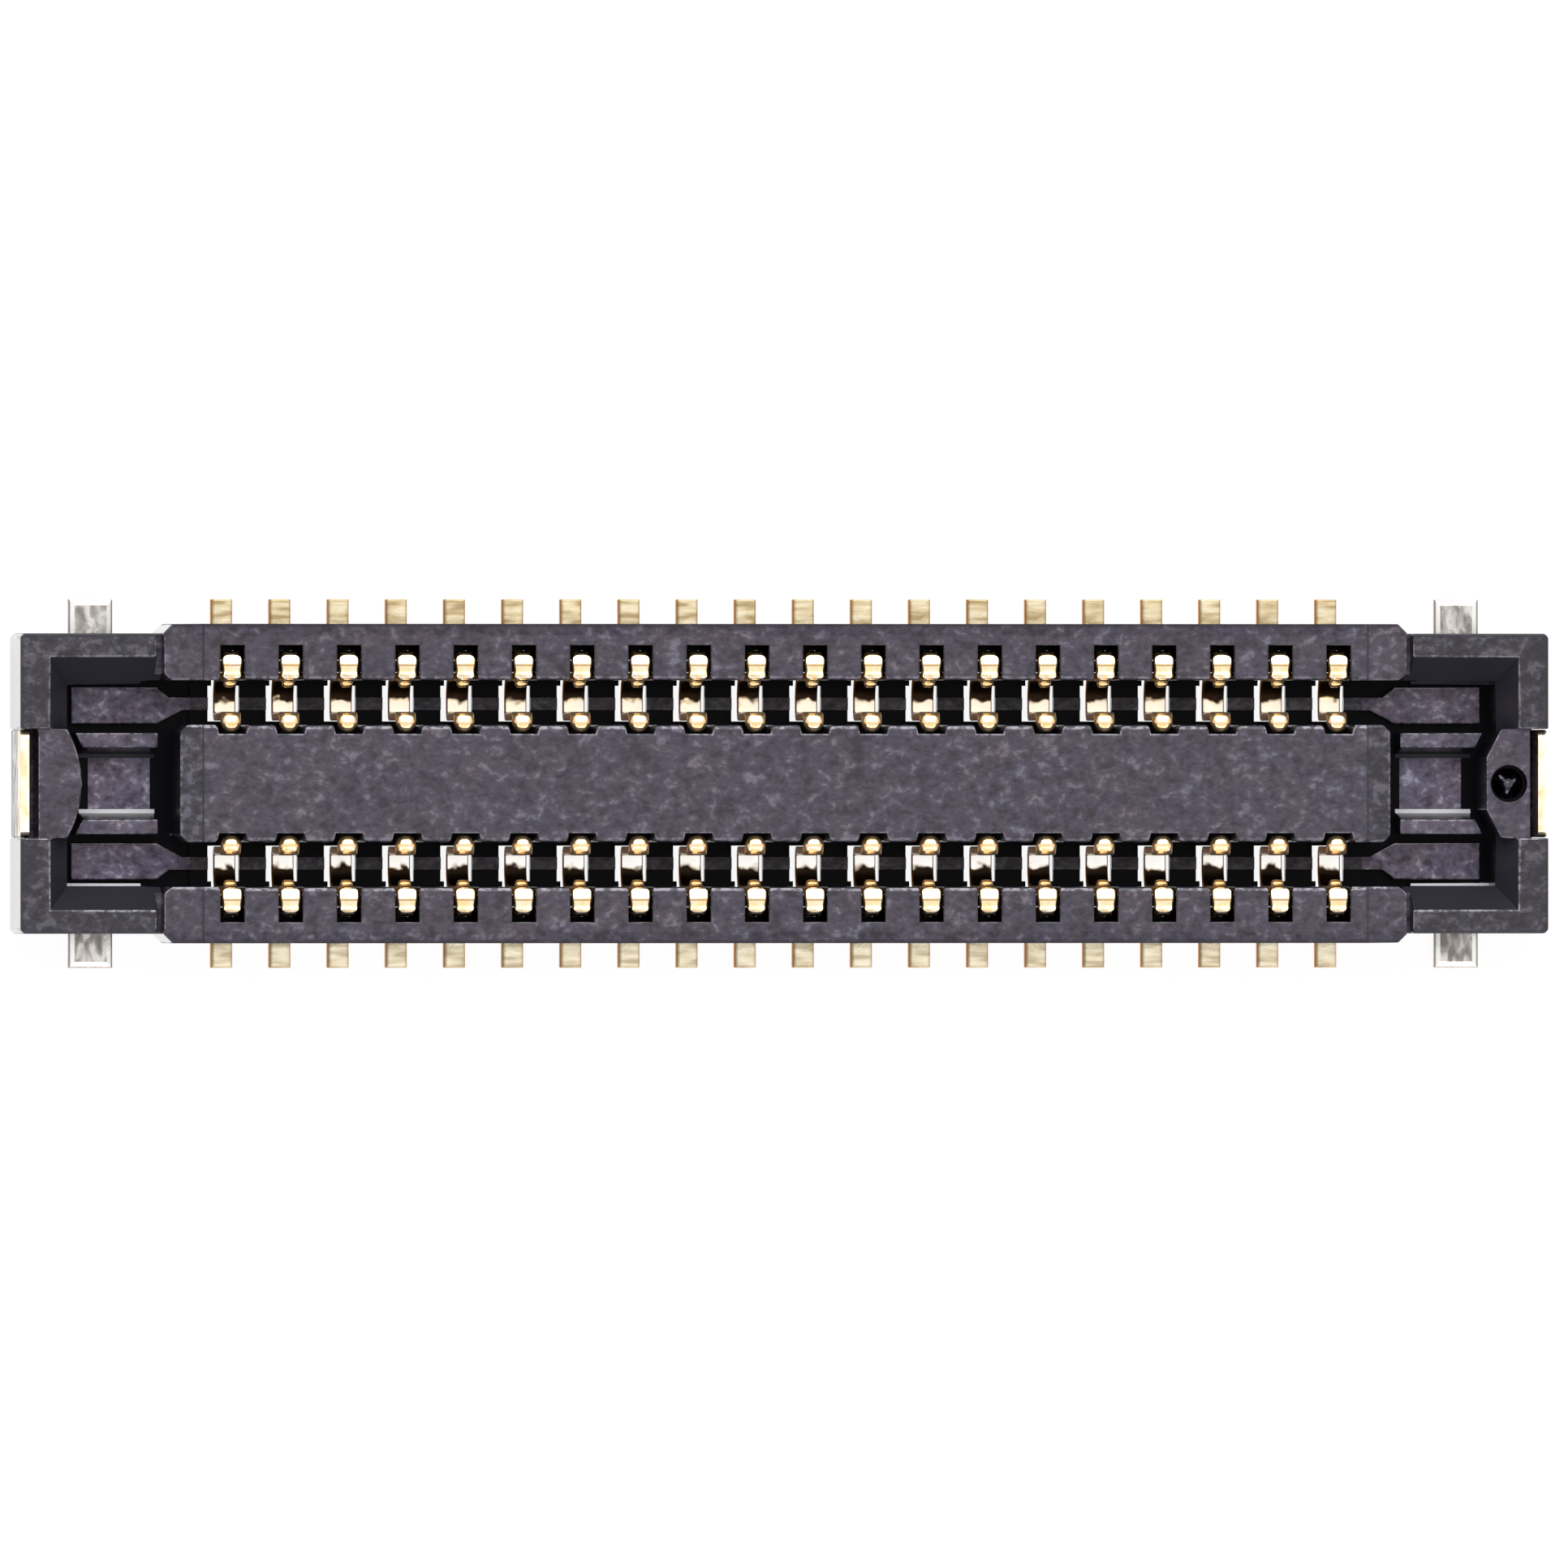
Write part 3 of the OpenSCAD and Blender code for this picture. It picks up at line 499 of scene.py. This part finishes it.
def strip_path():
    """Centre line of a +Y contact, as rows of (y, z, upper side's y and z, length, half width),
    and the lengths at which its parts begin."""
    rows, marks = [], {}
    state = {"y": TAIL_END, "z": STRIP_T / 2, "turn": 180.0, "s": 0.0}

    def row(half):
        angle = math.radians(state["turn"])
        rows.append((state["y"], state["z"], math.sin(angle), -math.cos(angle), state["s"], half))

    def straight(length, width, steps):
        angle = math.radians(state["turn"])
        for i in range(steps):
            state["y"] += math.cos(angle) * length / steps
            state["z"] += math.sin(angle) * length / steps
            state["s"] += length / steps
            row(width / 2)

    def bend(radius, degrees, width, steps):
        side = 1.0 if degrees > 0 else -1.0
        angle = math.radians(state["turn"])
        centre_y = state["y"] - side * radius * math.sin(angle)
        centre_z = state["z"] + side * radius * math.cos(angle)
        for i in range(steps):
            state["turn"] += degrees / steps
            angle = math.radians(state["turn"])
            state["y"] = centre_y + side * radius * math.sin(angle)
            state["z"] = centre_z - side * radius * math.cos(angle)
            state["s"] += abs(math.radians(degrees)) * radius / steps
            row(width / 2)

    row(TAIL_W / 2)
    straight(TAIL_ROUND, TAIL_W, 3)
    straight(TAIL_RIM - TAIL_ROUND, TAIL_W, 2)
    straight(TAIL_END - BEND_Y - TAIL_RIM, TAIL_W, 6)
    bend(BEND_R, -90, TAIL_W, 12)
    marks["tail"] = state["s"]
    straight(BARB_Z - STRIP_T / 2 - BEND_R, TAIL_W, 2)
    straight(BARB_STEP, BARB_W, 1)
    straight(BARB_H - BARB_STEP, BARB_W, 2)
    straight(BARB_STEP, SPRING_W, 1)
    tilt = math.radians(CROWN_TILT)
    run = BROW_R + (CROWN_R - BROW_R) * math.sin(tilt)
    rise = CROWN_R - (CROWN_R - BROW_R) * math.cos(tilt)
    straight(HUMP_Z + HUMP_R - rise - BARB_Z - BARB_H - BARB_STEP, SPRING_W, 4)
    marks["shoulder"] = state["s"]
    bend(BROW_R, 90 - CROWN_TILT, SPRING_W, 16)
    marks["rear"] = state["s"]
    bend(CROWN_R, CROWN_TILT, SPRING_W, 10)
    marks["crest"] = state["s"]
    straight(HUMP_FLAT + 2 * (HUMP_R - run), SPRING_W, 4)
    marks["brow"] = state["s"]
    bend(CROWN_R, CROWN_TILT, SPRING_W, 10)
    marks["front"] = state["s"]
    bend(BROW_R, 90 - CROWN_TILT, SPRING_W, 16)
    marks["leg"] = state["s"]
    straight(HUMP_Z + HUMP_R - rise - BEAD_Z - BEAD_HALF, SPRING_W, 3)
    straight(2 * BEAD_HALF, SPRING_W, 16)
    marks["shade_zone"] = state["s"]
    straight(BEAD_Z - BEAD_HALF - U_Z - U_OUT_R, SPRING_W, 4)
    bend(U_OUT_R, -90, U_W, 16)
    marks["foot"] = state["s"]
    straight(U_FLAT, U_W, 3)
    bend(U_IN_R, -90, U_W, 12)
    marks["arm"] = state["s"]
    straight(TIP_Z - U_Z - U_IN_R, SPRING_W, 6)
    marks["tip"] = state["s"]
    bend(TIP_R, 90, SPRING_W, 20)
    straight(TIP_LEN, SPRING_W, 20)
    return rows, marks


def strip_section(half, outer, inner, roll, burr):
    """Closed section as rows of (across thickness, across width, share of the sheared edge and its
    painted reflection).
    """
    rows = []
    roll = min(roll, 0.8 * half)
    flat = half - roll
    for i in range(-4, 5):
        v = flat * i / 4
        rows.append((outer - 0.002 * (v / half) ** 2, v, 0.0))
    middle = len(rows) - 1
    fall = max(0.3 * roll, min(1.5 * roll, outer + inner - 2 * burr))
    for i in range(1, 6):
        a = math.radians(90 * i / 5)
        rows.append((outer - fall + fall * math.cos(a), flat + roll * math.sin(a), (i / 5) ** 2))
    rows.append(((outer - fall - inner + burr) / 2, half, 1.0))
    for i in range(3):
        a = math.radians(45 * i)
        rows.append((-inner + burr - burr * math.sin(a), half - burr + burr * math.cos(a), 1.0 - i / 2))
    for u, v, share in rows[-1:middle:-1]:
        rows.append((u, -v, share))
    return rows


def bead_rise(z, v):
    """Height of the locking bead above the strip at a point of the inner leg."""
    along = 1.0 - ((z - BEAD_Z) / BEAD_HALF) ** 2
    across = 1.0 - (2 * v / (1.4 * BEAD_W)) ** 4
    return BEAD_OUT * math.sqrt(max(0.0, along)) * math.sqrt(max(0.0, across))


def round_off(share):
    """How far a quarter round has fallen at a share of its run."""
    return 1.0 - math.sqrt(1.0 - share * share)


def contact_mesh(name, side):
    """Strip of the row on one side of Y, with its painted zones as point values: bare edges with a
    painted reflection, painted shade, glints and reflections.
    """
    path, marks = strip_path()
    total = path[-1][4]
    verts, rings = [], []
    looks = {"sheared_and_reflected": [], "crease_shade": [], "shade_zone": [], "foot": [], "upper_row": [],
             "lobe_glint": [], "warm_reflection": [], "tail": []}
    for y, z, ny, nz, s, half in path:
        outer = inner = STRIP_T / 2
        start = max(0.0, 1.0 - s / TAIL_ROUND)
        trim = TAIL_ROUND * round_off(start)
        outer, inner, half = outer - trim, inner - trim, half - trim
        if marks["shoulder"] <= s <= marks["shade_zone"]:
            face_y = y + outer * ny
            past = max(0.0, face_y - HUMP_BACK_Y, HUMP_FRONT_Y - face_y) / HUMP_CORNER
            half -= HUMP_CORNER * round_off(min(1.0, past))
        sharp, faint = ("crest", "front") if side > 0 else ("brow", "rear")
        waist = (s - (marks[sharp] + marks[faint]) / 2) / WAIST_RUN
        half -= HUMP_WAIST * math.exp(-waist * waist)
        tip = min(1.0, max(0.0, (s - marks["tip"]) / (0.5 * TIP_R)))
        nose = round_off(max(0.0, 1.0 - (total - s) / TIP_ROUND))
        half *= 1.0 - NOSE_TAPER * nose
        outer -= 0.5 * STRIP_T * nose
        roll = STRIP_ROLL + (TIP_ROLL - STRIP_ROLL) * tip
        on_leg = ny < -0.999 and abs(z - BEAD_Z) < BEAD_HALF
        # Painted shade lines at the hump's creases
        crease_shade = CREASE_SHARP * math.exp(-((s - marks[sharp]) / CREASE_W) ** 2)
        crease_shade += CREASE_FAINT * math.exp(-((s - marks[faint]) / CREASE_W) ** 2)
        in_wall = marks["tail"] < s < marks["shoulder"]
        seated = in_wall or marks["leg"] < s < marks["foot"]
        if in_wall and BARB_Z < z < BARB_Z + BARB_H:
            outer += BARB_PRESS
        # Painted shade down in the housing wall and on the lower leg
        shaded_share = 1.0 if in_wall or marks["shade_zone"] < s < marks["arm"] else 0.0
        # Share of the painted reflection on the U's foot
        foot = max(0.0, 1.0 - abs(s - marks["foot"] - FOOT_SET) / FOOT_REACH)
        ring = []
        burr = SEATED_BURR if seated else STRIP_BURR
        for u, v, share in strip_section(half, outer, inner, roll, burr):
            upper = u > 0
            rise = bead_rise(z, v) if on_leg and upper else 0.0
            u += rise
            ring.append(len(verts))
            verts.append((v * MM, side * (y + u * ny) * MM, (z + u * nz) * MM))
            bare = 0.0 if in_wall else 1.0 - 0.2 * tip
            looks["sheared_and_reflected"].append(share * bare)
            # Painted glints on the lobes
            beyond = (s - marks["front"]) if side > 0 else (marks["rear"] - s)
            on_lobe = math.exp(-((abs(v) - LOBE_V) / LOBE_W) ** 2) if 0.0 < beyond < LOBE_RUN else 0.0
            looks["lobe_glint"].append(on_lobe if upper else 0.0)
            # Painted shade along the tail's rim
            inset = min(s, half - abs(v))
            rim_shade = max(0.0, 1.0 - inset / TAIL_RIM) if s < marks["tail"] else 0.0
            looks["crease_shade"].append(max(crease_shade, RIM_SHARE * rim_shade) if upper else 0.0)
            # Painted shade on the tail's left side
            left = min(1.0, max(0.0, (-v - SHADE_V) / SHADE_W)) if s < marks["tail"] else 0.0
            looks["shade_zone"].append(max(shaded_share, SHADE_SHARE * left) if upper or in_wall else 0.0)
            looks["foot"].append(foot if upper else 0.0)
            looks["upper_row"].append(1.0 if side > 0 else 0.0)
            # Painted warm reflection on the bead and tip
            warm_reflection = min(1.0, rise / (0.5 * BEAD_OUT)) * (WARM_UPPER if side > 0 else WARM_LOWER)
            looks["warm_reflection"].append(max(warm_reflection, WARM_TIP * tip) if upper else 0.0)
            looks["tail"].append(1.0 if s < marks["tail"] else 0.0)
        rings.append(ring)
    faces = []
    count = len(rings[0])
    for a, b in zip(rings, rings[1:]):
        for i in range(count):
            j = (i + 1) % count
            faces.append((a[i], a[j], b[j], b[i]))
    faces.append(tuple(reversed(rings[0])))
    faces.append(tuple(rings[-1]))
    mesh = bpy.data.meshes.new(name)
    mesh.from_pydata(verts, [], faces)
    for look, values in looks.items():
        mesh.attributes.new(look, "FLOAT", "POINT").data.foreach_set("value", values)
    bm = bmesh.new()
    bm.from_mesh(mesh)
    bmesh.ops.recalc_face_normals(bm, faces=bm.faces)
    bm.to_mesh(mesh)
    bm.free()
    mesh.shade_smooth()
    mesh.update()
    return mesh


def place_contacts(material):
    for row, side in (("a", 1), ("b", -1)):
        mesh = contact_mesh(f"strip_{row}", side)
        mesh.materials.append(material)
        for i in range(1, CONTACTS + 1):
            strip = new_object(f"strip_{row}{i:02d}", mesh)
            strip.location.x = (i - (CONTACTS + 1) / 2) * PITCH * MM
            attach(strip, "root")
            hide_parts(f"contact_{row}{i:02d}")


# Moulding and hold-downs

def span(a, b, point):
    """Distance from a point to the stretch between two others."""
    along = b - a
    share = max(0.0, min(1.0, (point - a).dot(along) / along.length_squared))
    return (point - a - along * share).length


def roomy(edge, room):
    """True where no other edge of the two faces runs close to this one."""
    a, b = (vert.co for vert in edge.verts)
    points = [a.lerp(b, share) for share in (0.02, 0.25, 0.5, 0.75, 0.98)]
    for face in edge.link_faces:
        for other in face.edges:
            if set(other.verts) & set(edge.verts):
                continue
            c, d = (vert.co for vert in other.verts)
            if any(span(c, d, point) < room for point in points):
                return False
            if any(span(a, b, point) < room for point in (c, d)):
                return False
    return True


def on_curve(face):
    """True for a facet of a round wall: it meets neighbours at slight angles."""
    low, high = math.radians(CURVE_FROM), math.radians(CURVE_TO)
    return any(edge.is_manifold and low < edge.calc_face_angle(0.0) < high for edge in face.edges)


def out_of_sight(edge):
    """True for an edge down in a contact's pocket or at the end of a groove's floor."""
    for vert in edge.verts:
        x, y, z = (abs(value) / MM for value in vert.co)
        pocket = x < GROOVE_FLOOR_HALF and POCKET_Y < y < SEAT_Y + 0.002 and z < BOSS_Z
        ending = abs(x - GROOVE_FLOOR_HALF) < 0.005 and z < GROOVE_FLOOR_Z + 0.005
        if not pocket and not ending:
            return False
    return True


def rounded_copy(node, name, radius):
    """Copy of a node's mesh with flat faces joined up and its outer edges rounded."""
    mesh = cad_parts[node].data.copy()
    mesh.name = name
    bm = bmesh.new()
    bm.from_mesh(mesh)
    bmesh.ops.remove_doubles(bm, verts=bm.verts, dist=MERGE * MM)
    bmesh.ops.dissolve_limit(bm, angle_limit=math.radians(FLAT_WITHIN), verts=bm.verts, edges=bm.edges,
                             use_dissolve_boundaries=False, delimit=set())
    for face in bm.faces:
        face.smooth = on_curve(face)
    room = EDGE_ROOM * radius * MM
    chosen = []
    for edge in bm.edges:
        if not edge.is_manifold or edge.calc_length() < room or out_of_sight(edge):
            continue
        if edge.calc_face_angle_signed(0.0) > math.radians(EDGE_FROM) and roomy(edge, room):
            chosen.append(edge)
    made = bmesh.ops.bevel(bm, geom=chosen, offset=radius * MM, offset_type="OFFSET", segments=3,
                           profile=0.5, affect="EDGES", clamp_overlap=False)
    for face in made["faces"]:
        face.smooth = True
    bm.to_mesh(mesh)
    bm.free()
    mesh.materials.clear()
    mesh.update()
    return mesh


def place_moulding(material):
    mesh = rounded_copy("housing", "moulding", EDGE_R)
    mesh.materials.append(material)
    moulding = new_object("moulding", mesh)
    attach(moulding, "root")
    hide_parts("housing")


def place_gate_scar(material):
    """Torn plastic around the gate's stub: three ragged arms on the recess's floor."""
    rings, spokes = SCAR_RINGS, SCAR_SPOKES
    verts = [(GATE_X * MM, 0.0, (GATE_FLOOR_Z + SCAR_H) * MM)]
    faces = []
    for i in range(1, rings + 1):
        r = SCAR_R * i / rings
        for j in range(spokes):
            a = math.tau * j / spokes
            px, py = r * math.cos(a), r * math.sin(a)
            rough = noise.noise(Vector((px * SCAR_GRAIN, py * SCAR_GRAIN, SCAR_SEED)))
            h = 0.0
            for lean, reach in SCAR_ARMS:
                off = abs(math.sin(a - math.radians(lean))) * r
                ahead = math.cos(a - math.radians(lean)) > 0
                if ahead and off < SCAR_ARM:
                    fade = max(0.0, 1.0 - (r / (reach * SCAR_R)) ** 3)
                    h = max(h, (1.0 - (off / SCAR_ARM) ** 2) * fade)
            h = SCAR_H * h * (1.0 + 0.5 * rough)
            verts.append(((GATE_X + px) * MM, py * MM, (GATE_FLOOR_Z + h) * MM))
    for j in range(spokes):
        faces.append((0, 1 + j, 1 + (j + 1) % spokes))
    for i in range(rings - 1):
        for j in range(spokes):
            k = (j + 1) % spokes
            a, b = 1 + i * spokes, 1 + (i + 1) * spokes
            faces.append((a + j, b + j, b + k, a + k))
    mesh = bpy.data.meshes.new("gate_scar")
    mesh.from_pydata(verts, [], faces)
    mesh.shade_smooth()
    mesh.materials.append(material)
    scar = new_object("gate_scar", mesh)
    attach(scar, "root")


def place_hold_downs(material):
    for end in ("left", "right"):
        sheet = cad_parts[f"hold_down_{end}"]
        sheet.data.materials.clear()
        sheet.data.materials.append(material)


# Stage, light and camera

def background_rays(n):
    """One for camera, glossy and transmission rays, otherwise zero."""
    rays = n.add("ShaderNodeLightPath")
    seen = n.either(rays.outputs["Is Camera Ray"], rays.outputs["Is Glossy Ray"])
    return n.either(seen, rays.outputs["Is Transmission Ray"])


def place_floor():
    bm = bmesh.new()
    bmesh.ops.create_grid(bm, x_segments=1, y_segments=1, size=FLOOR_HALF)
    mesh = bpy.data.meshes.new("floor")
    bm.to_mesh(mesh)
    bm.free()
    floor = new_object("floor", mesh)
    material = bpy.data.materials.new("pale_floor")
    n = Nodes(material)
    matt = n.add("ShaderNodeBsdfDiffuse", {"Color": (0.14, 0.14, 0.14, 1.0)})
    glow = n.add("ShaderNodeEmission", {"Color": (0.93, 0.93, 0.93, 1.0),
                                        "Strength": background_rays(n)})
    both = n.add("ShaderNodeAddShader", {0: matt.outputs[0], 1: glow.outputs[0]})
    under = n.add("ShaderNodeNewGeometry").outputs["Backfacing"]
    clear = n.add("ShaderNodeBsdfTransparent")
    mixed = n.add("ShaderNodeMixShader", {0: under, 1: both.outputs[0], 2: clear.outputs[0]})
    n.output(mixed.outputs[0])
    mesh.materials.append(material)


def light_world():
    world = bpy.data.worlds.new("studio")
    bpy.context.scene.world = world
    n = Nodes(world)
    lit = n.add("ShaderNodeBackground", {"Color": (1.0, 1.0, 1.0, 1.0), "Strength": 0.22})
    white = n.add("ShaderNodeBackground", {"Color": (1.0, 1.0, 1.0, 1.0), "Strength": 1.0})
    mixed = n.add("ShaderNodeMixShader", {0: background_rays(n), 1: lit.outputs[0],
                                          2: white.outputs[0]})
    out = n.add("ShaderNodeOutputWorld")
    n.tree.links.new(mixed.outputs[0], out.inputs["Surface"])


def area_light(name, direction, width, height, radiance):
    """Panel that faces the part from a direction, with a given radiance."""
    data = bpy.data.lights.new(name, "AREA")
    data.shape = "RECTANGLE"
    data.size = width
    data.size_y = height
    data.energy = math.pi * width * height * radiance
    lamp = new_object(name, data)
    aim = Vector(direction).normalized()
    lamp.location = aim * LAMP_DISTANCE
    lamp.rotation_euler = aim.to_track_quat("Z", "Y").to_euler()
    lamp.visible_camera = False


def polar(azimuth, elevation):
    """Direction with azimuth from +Y towards +X, in degrees."""
    a, e = math.radians(azimuth), math.radians(elevation)
    return (math.sin(a) * math.cos(e), math.cos(a) * math.cos(e), math.sin(e))


def place_lights():
    for name, azimuth, elevation, width, height, radiance in LAMPS:
        area_light(name, polar(azimuth, elevation), width, height, radiance)


def place_camera():
    tilt = math.radians(CAMERA_TILT)
    data = bpy.data.cameras.new("camera")
    data.sensor_fit = "HORIZONTAL"
    data.sensor_width = 36.0
    data.lens = data.sensor_width * CAMERA_DISTANCE / CAMERA_FIELD
    data.clip_start = 0.01
    data.clip_end = 20.0
    camera = new_object("camera", data)
    target = Vector(CAMERA_AIM) * MM
    away = Vector((-math.sin(tilt), 0.0, math.cos(tilt)))
    camera.location = target + away * CAMERA_DISTANCE * MM
    camera.rotation_euler = (0.0, -tilt, 0.0)
    bpy.context.scene.camera = camera


def main():
    bpy.context.scene.view_settings.view_transform = "Standard"
    plastic, gold, tin = moulded_plastic(), gold_plate(), tin_plate()
    place_moulding(plastic)
    place_gate_scar(plastic)
    place_hold_downs(tin)
    place_contacts(gold)
    place_floor()
    light_world()
    place_lights()
    place_camera()


main()
